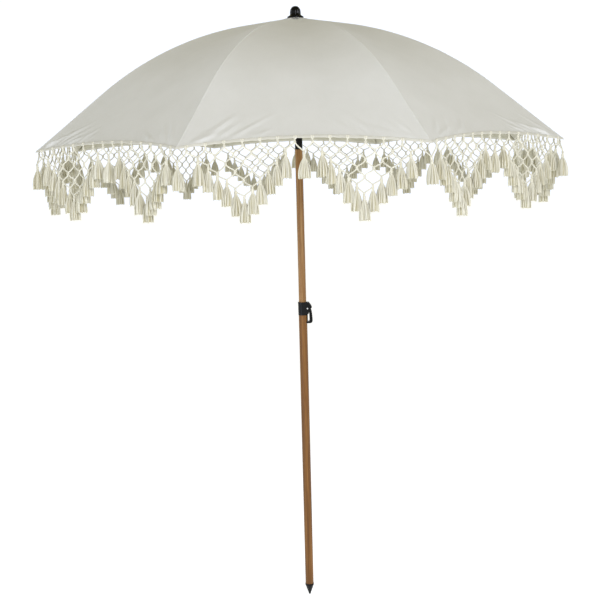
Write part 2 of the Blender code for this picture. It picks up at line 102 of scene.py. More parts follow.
HALF_V = 7
NET_ROWS = 6
ROW_0_DROP = 0.0150
ROW_PITCH = 0.0254
CORD_R = 0.0024
CORD_TWIST = 0.0125
CORD_STEP = 0.0021
PLY_R = 0.56 * CORD_R
PLY_OUT = 0.47 * CORD_R
KNOT_HIGH = 0.0098
TASSEL_LONG = 0.0745
TASSEL_R = 0.0175
TASSEL_NECK_R = 0.0043
VALLEY_EXTRA = 0.008

# The studio

FLOOR_COLOUR = (0.88, 0.88, 0.89, 1)
FLOOR_GLOW = 0.80
FLOOR_GLOW_COLOUR = (0.93, 0.965, 1.06, 1)
HORIZON = (0.935, 0.978, 1.075, 1)
HORIZON_TO = 0.16
OVERHEAD = (0.235, 0.203, 0.060, 1)
OVERHEAD_FROM = 0.40
WALL_STRENGTH = 1.1
LIGHT_AIM = (0, 0, 1.7)
KEY_AT = (1.4, -5.2, 3.6)
KEY_WIDE = 1.8
KEY_WATTS = 162
KEY_COLOUR = (0.965, 0.985, 1.13)
FILL_AT = (-3.5, -3.4, 0.6)
FILL_WIDE = 1.5
FILL_WATTS = 38
FILL_COLOUR = (0.88, 0.97, 1.25)
CAMERA_AT = (-0.0692, -3.9436, 1.7550)
CAMERA_LENS = 62.958
CAMERA_SWING = -0.865
CAMERA_TILT = 90 - 8.33
CAMERA_ROLL = -1.458


# Small mesh tools


class Shell:
    """Gathers many small parts into one mesh, with a shade from 0 to 1 at each point."""

    def __init__(self):
        self.points = []
        self.faces = []
        self.shades = []
        self.count = 0

    def add(self, part, shade=0.5, move=None, turn=None):
        """part is (points, faces); turn is a 3x3 array and move a point."""
        points, faces = part
        if turn is not None:
            points = points @ turn.T
        if move is not None:
            points = points + move
        self.points.append(points)
        self.faces += [[i + self.count for i in face] for face in faces]
        self.shades.append(np.broadcast_to(shade, len(points)))
        self.count += len(points)

    def piece(self, name, material, turn=0.0):
        """The gathered mesh as one smooth object, turned about Z."""
        mesh = bpy.data.meshes.new(name)
        mesh.from_pydata(np.concatenate(self.points).tolist(), [], self.faces)
        shades = mesh.attributes.new("shade", "FLOAT", "POINT")
        shades.data.foreach_set("value", np.concatenate(self.shades).astype(np.float32))
        mesh.transform(Matrix.Rotation(turn, 4, "Z"))
        return placed(name, mesh, material)


def object_of(name, data):
    """A new object in the scene."""
    thing = bpy.data.objects.new(name, data)
    bpy.context.scene.collection.objects.link(thing)
    return thing


def placed(name, mesh, material, sharp=35):
    """An object showing mesh, smooth but for edges sharper than the given angle."""
    mesh.materials.clear()
    mesh.materials.append(material)
    mesh.shade_smooth()
    mesh.set_sharp_from_angle(angle=math.radians(sharp))
    return object_of(name, mesh)


def stands_for(thing, body, slot, *nodes):
    """thing rides on body, in place of CAD nodes; slot is not used."""
    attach(thing, body)
    if nodes:
        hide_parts(*nodes)


def unit(vectors):
    """Each vector brought to a length of 1."""
    return vectors / np.linalg.norm(vectors, axis=-1, keepdims=True)


def circle(count):
    """Angles evenly spaced round a full turn."""
    return np.arange(count) * math.tau / count


def lengths(path):
    """How far along a path each of its points lies."""
    steps = np.linalg.norm(np.diff(path, axis=0), axis=1)
    return np.concatenate([[0], np.cumsum(steps)])


def points_at(path, reach):
    """The points that lie at some distances along a path."""
    gone = lengths(path)
    return np.stack([np.interp(reach, gone, path[:, k]) for k in range(3)], -1)


def ring_faces(rings, sides, closed=False, capped=True):
    """Faces between rings of points; a closed row of rings meets itself, and an open one can be capped."""
    faces = []
    for k in range(rings if closed else rings - 1):
        a, b = k * sides, (k + 1) % rings * sides
        faces += [[a + s, b + s, b + (s + 1) % sides, a + (s + 1) % sides] for s in range(sides)]
    if capped and not closed:
        faces += [list(range(sides)), list(range((rings - 1) * sides, rings * sides))[::-1]]
    return faces


def turned_over(faces):
    """The same faces, looking the other way."""
    return [[face[0], *face[:0:-1]] for face in faces]


def boxy(values, power):
    """A sine or cosine swollen towards -1 and 1, for a ring that is more box than circle."""
    return np.sign(values) * np.abs(values) ** power


def tube(path, radius, sides, across=None, closed=False):
    """A round tube along an array of points; radius may be one number for each point."""
    path = np.asarray(path, float)
    count = len(path)
    along = unit(np.roll(path, -1, 0) - np.roll(path, 1, 0) if closed else np.gradient(path, axis=0))
    if across is None:
        across = np.eye(3)[np.abs(along).mean(0).argmin()]
    side = unit(np.cross(along, across))
    up = np.cross(side, along)
    angles = circle(sides)[:, None]
    radius = np.broadcast_to(radius, count)[:, None, None]
    ring = np.cos(angles) * side[:, None] + np.sin(angles) * up[:, None]
    points = (path[:, None] + radius * ring).reshape(-1, 3)
    return points, ring_faces(count, sides, closed)


def turned(profile, sides, flute=None):
    """(radius, height) points from the top down, spun about Z; the first point again closes a ring."""
    points, rings = [], []
    for radius, height in profile:
        if rings and (radius, height) == tuple(profile[0]):
            rings.append(rings[0])
        elif radius < 1e-6:
            rings.append([len(points)] * sides)
            points.append((0, 0, height))
        else:
            rings.append(list(range(len(points), len(points) + sides)))
            for angle in circle(sides):
                reach = radius * (flute(angle, height) if flute else 1)
                points.append((reach * math.cos(angle), reach * math.sin(angle), height))
    faces = []
    for high, low in zip(rings, rings[1:]):
        for k in range(sides):
            n = (k + 1) % sides
            faces.append(list(dict.fromkeys([high[k], low[k], low[n], high[n]])))
    return np.array(points, float), faces


def rounded(corners, radius, steps=3):
    """A profile with each inner corner rounded by about the given radius."""
    done = [corners[0]]
    for before, here, after in zip(corners, corners[1:], corners[2:]):
        before, here, after = Vector(before), Vector(here), Vector(after)
        start = here + (before - here).normalized() * min(radius, (before - here).length / 2)
        end = here + (after - here).normalized() * min(radius, (after - here).length / 2)
        for k in range(steps + 1):
            t = k / steps
            done.append(tuple(start.lerp(here, t).lerp(here.lerp(end, t), t)))
    return done + [corners[-1]]


def pipe(outer, bore, low, high, soften=0.0004, sides=96):
    """A tube about Z with softened rims."""
    middle = (low + high) / 2
    profile = [(outer, middle), (outer, low), (bore, low), (bore, high), (outer, high), (outer, middle)]
    return turned(rounded(profile, soften), sides)


def plate(outline, low, high):
    """A flat plate with an (x, z) outline, lying between two heights along Y, its edges softened."""
    soften = 0.0003
    outline = np.asarray(outline, float)
    middle = outline.mean(0)
    points = []
    for y, shrink in ((low, soften), (low + soften, 0), (high - soften, 0), (high, soften)):
        reach = outline - middle
        reach = middle + reach * (1 - shrink / np.linalg.norm(reach, axis=1))[:, None]
        points.append(np.stack([reach[:, 0], np.full(len(outline), y), reach[:, 1]], -1))
    return np.concatenate(points), ring_faces(4, len(outline))


def refined(node, name, material, bevel):
    """A copy of a CAD node with its flat faces whole again and its edges rounded."""
    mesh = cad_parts[node].data.copy()
    bm = bmesh.new()
    bm.from_mesh(mesh)
    bmesh.ops.remove_doubles(bm, verts=bm.verts, dist=1e-6)
    bmesh.ops.dissolve_limit(bm, angle_limit=math.radians(0.6), verts=bm.verts, edges=bm.edges)
    bm.to_mesh(mesh)
    bm.free()
    for attribute in [a for a in mesh.attributes if a.name == "sharp_face"]:
        mesh.attributes.remove(attribute)
    thing = placed(name, mesh, material, sharp=30)
    edges = thing.modifiers.new("Rounded edges", "BEVEL")
    edges.width = bevel
    edges.segments = 2
    edges.limit_method = "ANGLE"
    edges.angle_limit = math.radians(32)
    edges.harden_normals = True
    return thing


# Materials


class Finish:
    """A Principled material and short ways to add nodes to it."""

    def __init__(self, name, roughness, metallic=0.0, **sockets):
        self.material = bpy.data.materials.new(name)
        self.material.use_nodes = True
        self.tree = self.material.node_tree
        self.shader = self.tree.nodes["Principled BSDF"]
        self.shader.inputs["Roughness"].default_value = roughness
        self.shader.inputs["Metallic"].default_value = metallic
        for socket, value in sockets.items():
            self.shader.inputs[socket.replace("_", " ")].default_value = value

    def node(self, kind, inputs=(), **settings):
        """A new shader node; an input is a value or another node's output."""
        made = self.tree.nodes.new("ShaderNode" + kind)
        for key, value in settings.items():
            setattr(made, key, value)
        for key, value in dict(inputs).items():
            if isinstance(value, bpy.types.NodeSocket):
                self.tree.links.new(value, made.inputs[key])
            else:
                made.inputs[key].default_value = value
        return made

    def place(self, scale):
        """The piece's own coordinates, stretched along each axis."""
        at = self.node("TexCoord").outputs["Object"]
        return self.node("Mapping", {"Vector": at, "Scale": scale}).outputs["Vector"]

    def noise(self, vector, scale, detail, rough=0.55, distort=0.0):
        """Cloudy values from 0 to 1."""
        sockets = {"Vector": vector, "Scale": scale, "Detail": detail}
        sockets.update({"Roughness": rough, "Distortion": distort})
        return self.node("TexNoise", sockets).outputs["Fac"]

    def wave(self, vector, scale, direction, distort, detail):
        """Bands from 0 to 1 across one axis."""
        sockets = {"Vector": vector, "Scale": scale, "Distortion": distort, "Detail": detail}
        return self.node("TexWave", sockets, bands_direction=direction).outputs["Fac"]

    def math(self, operation, a, b):
        """One sum or product of two values."""
        return self.node("Math", {0: a, 1: b}, operation=operation).outputs[0]

    def ramp(self, factor, *stops):
        """A colour for each value, by (value, colour) stops."""
        made = self.node("ValToRGB", {"Fac": factor})
        elements = made.color_ramp.elements
        while len(elements) < len(stops):
            elements.new(0.5)
        for element, (at, colour) in zip(elements, stops):
            element.position = at
            element.color = colour
        return made.outputs["Color"]

    def into(self, socket, output):
        """Feeds the shader's socket."""
        self.tree.links.new(output, self.shader.inputs[socket])

    def bump(self, height, distance, strength):
        """Fine relief of a height from 0 to 1, so many metres high."""
        sockets = {"Height": height, "Distance": distance, "Strength": strength}
        self.into("Normal", self.node("Bump", sockets).outputs["Normal"])


def grey(value):
    """An opaque grey."""
    return (value, value, value, 1)


def canopy_finish(name, light, dark):
    """Plain-woven polyester: warp and weft bumps, uneven yarns and faint mottling."""
    cloth = Finish(name, 0.82, Sheen_Weight=0.25, Sheen_Roughness=0.5, Specular_IOR_Level=0.25)
    at = cloth.node("UVMap", uv_map="Cloth").outputs["UV"]
    threads = 420.0
    warp = cloth.wave(at, threads, "X", 0.4, 1.0)
    weft = cloth.wave(at, threads, "Y", 0.4, 1.0)
    weave = cloth.math("MULTIPLY", cloth.math("ADD", warp, weft), 0.5)
    slub = cloth.node("Mapping", {"Vector": at, "Scale": (900.0, 24.0, 1.0)}).outputs["Vector"]
    yarn = cloth.noise(slub, 1.0, 2.0)
    mottle = cloth.noise(cloth.place((1, 1, 1)), 9.0, 3.0)
    tone = cloth.math("ADD", cloth.math("MULTIPLY", yarn, 0.35), cloth.math("MULTIPLY", mottle, 0.65))
    cloth.into("Base Color", cloth.ramp(tone, (0.30, dark), (0.68, light)))
    height = cloth.math("ADD", weave, cloth.math("MULTIPLY", yarn, 0.6))
    cloth.bump(height, 0.00016, 0.55)
    return cloth.material


def cotton_finish(name, deep, light, twist=0.0):
    """Loose cotton yarn: the tone of each strand from its shade value, fibres and the twist's ridges; on the
    tassels the lowest values are painted shade.
    """
    cotton = Finish(name, 0.93, Sheen_Weight=0.35, Sheen_Roughness=0.6, Specular_IOR_Level=0.2)
    at = cotton.place((1, 1, 1))
    shade = cotton.node("Attribute", attribute_name="shade").outputs["Fac"]
    fibre = cotton.noise(cotton.place((1400, 1400, 260)), 1.0, 2.0)
    patch = cotton.noise(at, 60.0, 2.0)
    tone = cotton.math("ADD", shade, cotton.math("MULTIPLY", cotton.math("SUBTRACT", patch, 0.5), 0.25))
    tone = cotton.math("ADD", tone, cotton.math("MULTIPLY", cotton.math("SUBTRACT", fibre, 0.5), 0.30))
    cotton.into("Base Color", cotton.ramp(tone, (0.05, deep), (0.85, light)))
    height = fibre
    if twist:
        height = cotton.math("ADD", fibre, cotton.wave(at, twist, "Z", 2.0, 1.0))
    cotton.bump(height, 0.0003, 0.7)
    return cotton.material


def wood_finish(name, dark, middle, light):
    """Wood grain printed on a lacquered tube: long streaks, wavy bands and short pores."""
    wood = Finish(name, 0.45, Coat_Weight=0.04, Coat_Roughness=0.30, Specular_IOR_Level=0.25)
    streak = wood.noise(wood.place((95, 95, 3.2)), 1.0, 5.0, 0.62, 0.3)
    band = wood.noise(wood.place((38, 38, 1.3)), 1.0, 3.0, 0.5, 1.6)
    pores = wood.noise(wood.place((620, 620, 26)), 1.0, 2.0)
    tone = wood.math("ADD", wood.math("MULTIPLY", streak, 0.55), wood.math("MULTIPLY", band, 0.45))
    tone = wood.math("ADD", tone, wood.math("MULTIPLY", wood.math("SUBTRACT", pores, 0.5), 0.14))
    wood.into("Base Color", wood.ramp(tone, (0.34, dark), (0.50, middle), (0.66, light)))
    wood.into("Roughness", wood.ramp(streak, (0.3, grey(0.50)), (0.7, grey(0.38))))
    wood.bump(pores, 0.00006, 0.5)
    return wood.material


def plastic_finish(name, colour, low, high):
    """Moulded plastic: fine grain, and a gloss that is rubbed dull in patches."""
    plastic = Finish(name, 0.3, Specular_IOR_Level=0.15)
    at = plastic.place((1, 1, 1))
    rub = plastic.noise(at, 130.0, 4.0, 0.6)
    worn = tuple(c * 2.0 + 0.002 for c in colour[:3])
    plastic.into("Base Color", plastic.ramp(rub, (0.45, colour), (0.80, (*worn, 1))))
    plastic.into("Roughness", plastic.ramp(rub, (0.35, grey(low)), (0.75, grey(high))))
    plastic.bump(plastic.noise(at, 2400.0, 1.0), 0.00003, 0.4)
    return plastic.material


def metal_finish(name, colour, low, high, brushed=(1, 1, 1), scale=160.0):
    """Drawn or plated metal with fine scratches and uneven tarnish."""
    metal = Finish(name, low, 1.0)
    at = metal.place(brushed)
    marks = metal.noise(at, scale, 5.0, 0.65)
    dull = tuple(c * 0.72 for c in colour[:3])
    metal.into("Base Color", metal.ramp(marks, (0.35, (*dull, 1)), (0.62, colour)))
    metal.into("Roughness", metal.ramp(marks, (0.35, grey(high)), (0.65, grey(low))))
    metal.bump(marks, 0.00003, 0.5)
    return metal.material


CLOTH = canopy_finish("canopy weave", (0.700, 0.700, 0.665, 1), (0.655, 0.655, 0.615, 1))
# The inner face is the outer cloth darkened and tinted tan: painted shade, with the tan of light shining
# through the cloth.
LINING_IN_PAINTED_SHADE = canopy_finish("canopy weave, inner face in painted shade", (0.470, 0.455, 0.350, 1), (0.410, 0.395, 0.300, 1))
TAPE = canopy_finish("hem tape weave", (0.575, 0.565, 0.490, 1), (0.525, 0.510, 0.430, 1))
THREAD = cotton_finish("sewing thread", (0.56, 0.56, 0.51, 1), (0.70, 0.70, 0.65, 1))
CORD = cotton_finish("twisted cotton cord", (0.50, 0.48, 0.38, 1), (0.70, 0.68, 0.56, 1))
# The tassel's deep olive is the colour of the painted shade on its core and its darker strands.
TASSEL = cotton_finish("cotton tassel", (0.46, 0.42, 0.255, 1), (0.72, 0.70, 0.580, 1), 260.0)
WOOD_TOP = wood_finish(
    "oak print, light", (0.140, 0.062, 0.018, 1), (0.262, 0.133, 0.044, 1), (0.440, 0.270, 0.120, 1)
)
WOOD_LOW = wood_finish(
    "oak print", (0.085, 0.032, 0.0065, 1), (0.168, 0.070, 0.013, 1), (0.285, 0.136, 0.032, 1)
)
BLACK = plastic_finish("black plastic", (0.003, 0.003, 0.0034, 1), 0.22, 0.36)
STEEL = metal_finish("bright steel", (0.72, 0.72, 0.71, 1), 0.22, 0.38)
RIB_STEEL = metal_finish("plated rib steel", (0.66, 0.65, 0.62, 1), 0.30, 0.46, (1, 1, 0.2), 220.0)


# The canopy's form, on a rib that points along +X


def canopy_z(radius):
    """Height of the cloth's outer face over a rib: an arc, then straight on to the rim."""
    bent = np.minimum(radius, STRAIGHT_FROM_R)
    below = np.sqrt(CANOPY_ARC_R**2 - np.square(bent))
    dome = CANOPY_ARC_R - below + (radius - bent) * bent / below
    reach = np.clip((radius - CROWN_R) / (CROWN_RISE_R - CROWN_R), 0, 1)
    return APEX_Z - dome - CROWN_RISE * (1 - (1 - reach) ** 2)


def canopy_fall(radius):
    """How steeply the cloth falls there."""
    step = 0.0005
    return (canopy_z(radius - step) - canopy_z(radius + step)) / (2 * step)


def normal_at(radius):
    """Straight out from the smooth cloth over a rib."""
    return unit(np.array((float(canopy_fall(radius)), 0, 1)))


def rib_point(radius, drop=0.0):
    """Centre of the rib's rod under the cloth, (x, 0, z)."""
    near = max(1 - (radius - PIVOT_R) / CROWN_DEPTH_R, 0)
    depth = ROD_DEPTH + CROWN_DEPTH * near**2 + drop
    return np.array((radius, 0, float(canopy_z(radius)))) - depth * normal_at(radius)


CROWN_PIVOT = np.array((PIVOT_R, 0, rib_point(PIVOT_R)[2]))
ELBOW = rib_point(ELBOW_R, ELBOW_DROP)
RUNNER_PIVOT = np.array((PIVOT_R, 0, 2 * ELBOW[2] - CROWN_PIVOT[2]))
LIE_DOWN = np.array(Matrix.Rotation(math.radians(90), 3, "X"))


def cloth_point(radius, share, lift=0.0, rib=None):
    """Points of the outer cloth, creased for a rib's number. share is 0 on the rib, 1 or -1 on the next."""
    radius, share = np.broadcast_arrays(radius, share)
    side, t = np.where(share < 0, -1.0, 1.0), np.abs(share)
    in_r = radius * (1 - HEM_ARCH * 4 * t * (1 - t) * radius / RIM_R)
    x = in_r * (1 - t + t * math.cos(RIB_STEP))
    y = in_r * t * math.sin(RIB_STEP) * side
    z = canopy_z(in_r)
    fall = canopy_fall(in_r) / math.cos(RIB_STEP / 2)
    long = np.hypot(fall, 1)
    out, up = fall / long, 1 / long
    dip = SAG * np.sin(math.pi * t) * np.sin(math.pi * np.clip(radius / RIM_R, 0, 1)) ** 0.8
    move = lift - dip
    if rib is not None:
        move = move + creases(radius, share, rib)
    x = x + move * out * math.cos(RIB_STEP / 2)
    y = y + move * out * math.sin(RIB_STEP / 2) * side
    z = z + move * up
    return np.stack([x, y, z], -1)


def inward(corner, degrees):
    """The direction of a fold that leans away from a panel's corner, -1 or 1."""
    lean = math.radians(degrees)
    return lean if corner < 0 else math.pi - lean


def fold_plan(panel):
    """Tension folds that run up from a panel's hem: (start from the middle, lean, reach, width, height)."""
    rng = random.Random(FOLD_SEED + panel)
    half = RIM_R * math.sin(RIB_STEP / 2)
    plan = []
    for corner in (-1, 1):
        strong = rng.uniform(0.25, 1.2)
        for spread in (0.012, 0.018, 0.030, 0.050, 0.085, 0.130, 0.180):
            start = corner * (half - spread - rng.uniform(0, 0.02))
            lean = inward(corner, rng.uniform(20, 60))
            reach = rng.uniform(0.08, 0.25)
            height = strong * rng.uniform(0.25, 1.0) * FOLD_HIGH
            plan.append((start, lean, reach, rng.uniform(0.009, 0.015), height))
        for k in range(9):
            start = corner * (half - 0.030 - 0.024 * k - rng.uniform(0, 0.012))
            lean = inward(corner, rng.uniform(38, 66))
            reach = rng.uniform(0.050, 0.095)
            height = strong * rng.uniform(0.3, 1.0) * HATCH_HIGH
            plan.append((start, lean, reach, rng.uniform(0.0065, 0.0090), height))
    return plan


FOLDS = [fold_plan(panel) for panel in range(RIBS)]


def fold_height(x, y, start, lean, reach, width, height):
    """A ridge with a hollow on either side; x is across from the panel's middle and y up from its hem."""
    along = (x - start) * math.cos(lean) + y * math.sin(lean)
    beside = (y * math.cos(lean) - (x - start) * math.sin(lean)) / width
    gone = np.clip(along / reach, 0, 1)
    swell = np.clip(along / min(0.06, 0.4 * reach), 0, 1) * (1 - gone * gone * (3 - 2 * gone))
    return height * swell * (1 - 1.1 * beside**2) * np.exp(-(beside**2))


def creases(radius, share, rib):
    """Height of the folds and puckers in the two half panels beside a rib."""
    ahead = share >= 0
    across = np.where(ahead, share, 1 + share)
    wide = 2 * radius * math.sin(RIB_STEP / 2)
    x = (across - 0.5) * wide
    y = (RIM_R - radius) * HEM_SLOPE
    calm = np.clip((np.abs(x) - 0.010) / 0.050, 0, 1)
    calm = calm * calm * (3 - 2 * calm)
    folds = np.zeros(np.shape(radius))
    for panel, here in ((rib % RIBS, ahead), (rib - 1, ~ahead)):
        for fold in FOLDS[panel]:
            folds = folds + np.where(here, fold_height(x, y, *fold), 0)
    from_rib = (0.5 - np.abs(across - 0.5)) * wide
    pucker = 0.00045 * (np.sin(x * 150 + rib) + 0.7 * np.sin(x * 233 - rib)) * np.exp(-y / 0.028) * calm
    gather = 0.0009 * np.exp(-(((radius - CROWN_R) / 0.022) ** 2)) * np.sin(across * math.tau * 10)
    return (folds * calm + pucker) * np.clip(from_rib / 0.02, 0, 1) + gather


def share_at(radius, across):
    """The share that lies a distance across from the rib."""
    return across / (2 * radius * math.sin(RIB_STEP / 2))


# Canopy pieces


def gore_mesh(name, rib):
    """One gore, from mid-panel over its rib to the next mid-panel, with a cloth grain laid in metres."""
    # Rows lie closest inside crown_r and outside skirt_r.
    crown_r, skirt_r = 0.10, 0.62
    inner = CANOPY_BORE_R + (crown_r - CANOPY_BORE_R) * np.linspace(0, 1, 26) ** 1.2
    skirt = np.linspace(skirt_r, RIM_R, 88)
    radii = np.concatenate([inner, np.linspace(crown_r, skirt_r, 46)[1:], skirt[1:]])
    half = 0.5 * (np.linspace(0, 1, 69) ** 1.15)
    shares = np.concatenate([-half[:0:-1], half])
    rows, across = len(radii), len(shares)
    outside = cloth_point(radii[:, None], shares[None, :], 0.0, rib).reshape(-1, 3)
    inside = cloth_point(radii[:, None], shares[None, :], -CLOTH_T, rib).reshape(-1, 3)
    under = len(outside)
    starts = [r * across + c for r in range(rows - 1) for c in range(across - 1)]
    faces = [(k, k + across, k + across + 1, k + 1) for k in starts]
    faces += [tuple(under + i for i in reversed(face)) for face in faces]
    edge = [(rows - 1) * across + c for c in range(across)]
    edge += [r * across + across - 1 for r in range(rows - 2, -1, -1)]
    edge += list(range(across - 2, -1, -1)) + [r * across for r in range(1, rows)]
    faces += [(a, under + a, under + b, b) for a, b in zip(edge, edge[1:])]
    mesh = bpy.data.meshes.new(name)
    mesh.from_pydata(np.concatenate([outside, inside]).tolist(), [], faces)
    wide = shares[None, :] * 2 * radii[:, None] * math.sin(RIB_STEP / 2)
    down = np.broadcast_to(radii[:, None] * CLOTH_PER_RADIUS, wide.shape)
    grain = np.stack([wide, down], -1).reshape(-1, 2)
    grain = np.concatenate([grain, grain])
    layer = mesh.uv_layers.new(name="Cloth")
    corners = np.empty(len(mesh.loops), np.int32)
    mesh.loops.foreach_get("vertex_index", corners)
    layer.data.foreach_set("uv", grain[corners].astype(np.float32).ravel())
    return mesh, radii, (rows - 1) * (across - 1)


def stitches(shell, path, normal):
    """A row of short thread loops along a path that lies on the cloth."""
    for start in np.arange(0.002, lengths(path)[-1] - STITCH_LONG, STITCH_PITCH):
        dash = points_at(path, np.linspace(start, start + STITCH_LONG, 4))
        dash += normal * np.array([-0.0001, 0.00025, 0.00025, -0.0001])[:, None]
        shell.add(tube(dash, [0.00018, 0.00032, 0.00032, 0.00018], 4), 0.55)


def seam_parts():
    """The felled seam over a rib, and its two rows of stitches."""
    radii = np.linspace(0.031, RIM_R - 0.002, 150)
    strip, thread = Shell(), Shell()
    lane = np.array([-0.5, -0.44, -0.15, 0, 0.15, 0.44, 0.5]) * SEAM_WIDE
    rise = np.array([0.00005, 0.00035, 0.00042, 0.0005, 0.00042, 0.00035, 0.00005])
    top = np.stack([cloth_point(radii, share_at(radii, a), lift) for a, lift in zip(lane, rise)], 1)
    low = np.stack([cloth_point(radii, share_at(radii, a), -0.0002) for a in (lane[-1], lane[0])], 1)
    rings = np.concatenate([top, low], 1)
    strip.add((rings.reshape(-1, 3), ring_faces(*rings.shape[:2])))
    for side in (-1, 1):
        line = cloth_point(radii, share_at(radii, side * 0.0024), 0.00040)
        stitches(thread, line, normal_at(radii[len(radii) // 2]))
    return strip, thread


def hem_path(rib):
    """The hem's line from mid-panel to mid-panel, with its cloth direction and outward normal."""
    share = np.linspace(-0.5, 0.5, 161)
    edge = cloth_point(RIM_R, share, 0.0, rib)
    inside = cloth_point(RIM_R - 0.004, share, 0.0, rib)
    droop = np.array([0, 0, -0.55])
    down = unit(unit(edge - inside) + droop)
    along = unit(np.gradient(edge, axis=0))
    out = np.cross(along, down)
    out *= np.sign(out[:, :1])
    return edge, down, out


def tape_parts(rib):
    """Bias tape folded over the hem's edge, and the stitches that hold it."""
    edge, down, out = hem_path(rib)
    tape, thread = Shell(), Shell()
    rng = np.random.default_rng(rib)
    span, unevenness = 17, 0.0012
    draws = rng.normal(0, 1, len(edge) + span - 1)
    wobble = np.convolve(draws, np.ones(span) / span, "valid") * unevenness
    sides = 14
    angles = circle(sides)[:, None]
    flat, thick = boxy(np.cos(angles), 0.6), boxy(np.sin(angles), 0.8)
    centre = edge + down * (TAPE_HIGH * 0.24 + wobble[:, None])
    ring = centre[:, None] + flat * TAPE_HIGH / 2 * down[:, None]
    ring = ring + thick * TAPE_THICK / 2 * out[:, None]
    tape.add((ring.reshape(-1, 3), turned_over(ring_faces(len(edge), sides))))
    line = centre - down * TAPE_HIGH * 0.30 + out * TAPE_THICK * 0.47
    stitches(thread, line, out[len(out) // 2])
    return tape, thread


def pocket_part():
    """The sewn sleeve that holds a rib's end under the hem's corner: a wide mouth and a narrowing tip."""
    sides = 20
    angles = circle(sides)[:, None]
    wide = 0.0062 * boxy(np.cos(angles), 0.8) * np.array([0, 1, 0])
    high = 0.0049 * boxy(np.sin(angles), 0.8)
    rings = []
    swells = [1.12] + [1.0] * 8 + [0.97, 0.84, 0.52]
    mouth_r, tip_r = 0.905, RIM_R - 0.0015
    for radius, swell in zip(np.linspace(mouth_r, tip_r, len(swells)), swells):
        rings.append(rib_point(radius) + swell * wide + (swell * high + 0.0004) * normal_at(radius))
    return np.concatenate(rings), turned_over(ring_faces(len(rings), sides))


def planar_uv(thing):
    """Cloth grain for a narrow strip, in metres."""
    mesh = thing.data
    layer = mesh.uv_layers.new(name="Cloth")
    for loop in mesh.loops:
        at = mesh.vertices[loop.vertex_index].co
        layer.data[loop.index].uv = (math.hypot(at.x, at.y), at.z)


def turn_of(number):
    """A rib's angle about Z; the ribs count from 1."""
    return FIRST_RIB + (number - 1) * RIB_STEP


def gore_squash(thing):
    """Gives the piece its own copy of its mesh."""
    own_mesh(thing)


def build_canopy():
    """Eight gores with their seams, hem tape, stitches and tip pockets."""
    seam, seam_thread = seam_parts()
    pocket = Shell()
    pocket.add(pocket_part())
    for number in range(1, RIBS + 1):
        body, turn = f"rib_{number}", turn_of(number)
        mesh, radii, count = gore_mesh(f"gore_{number}", number)
        tape, tape_thread = tape_parts(number)
        mesh.transform(Matrix.Rotation(turn, 4, "Z"))
        gore = placed(f"gore_{number}", mesh, CLOTH, sharp=60)
        # The inner faces take the lining colour, which is painted shade.
        mesh.materials.append(LINING_IN_PAINTED_SHADE)
        for face in mesh.polygons[count : 2 * count]:
            face.material_index = 1
        stands_for(gore, body, "canopy_cloth", f"canopy_{number}")
        gore_squash(gore)
        strip = seam.piece(f"seam_{number}", CLOTH, turn)
        thread = seam_thread.piece(f"seam_thread_{number}", THREAD, turn)
        hem = tape.piece(f"hem_tape_{number}", TAPE, turn)
        hem_thread = tape_thread.piece(f"hem_thread_{number}", THREAD, turn)
        # The sleeve under the hem's corner also takes the lining colour, which is painted shade.
        sleeve = pocket.piece(f"tip_pocket_{number}", LINING_IN_PAINTED_SHADE, turn)
        for thing in (strip, hem, sleeve):
            planar_uv(thing)
        for thing in (strip, thread, hem, hem_thread, sleeve):
            stands_for(thing, body, "canopy_cloth")
        for thing in (hem, hem_thread):
            gore_squash(thing)


# The fringe


def knot_part():
    """A tight cord knot, a little taller than wide."""
    t = circle(44)
    swell = 0.0019 + 0.0011 * np.cos(3 * t)
    path = np.stack([swell * np.cos(2 * t), 0.8 * swell * np.sin(2 * t), 0.0028 * np.sin(3 * t)], -1)
    return tube(path, 0.00155, 5, across=(0.2, 0.3, 1.0), closed=True)


def cord_part(path, out, phase):
    """Three plies twisted together along a path; out is the way the net faces."""
    path = np.asarray(path, float)
    long = lengths(path)[-1]
    steps = max(int(long / CORD_STEP), 4)
    reach = np.linspace(0, long, steps + 1)
    line = points_at(path, reach)
    along = unit(np.gradient(line, axis=0))
    side = unit(np.cross(along, out))
    face = np.cross(side, along)
    parts = []
    for ply in range(3):
        angle = (math.tau * (reach / CORD_TWIST + ply / 3) + phase)[:, None]
        offset = PLY_OUT * (np.cos(angle) * side + np.sin(angle) * face)
        parts.append(tube(line + offset, PLY_R, 5, across=out))
    return parts


def tassel_r(t):
    """A tassel's half width, from its neck (0) to its cut end (1)."""
    return TASSEL_NECK_R + (TASSEL_R - TASSEL_NECK_R) * (1 - (1 - t) ** 2.6)


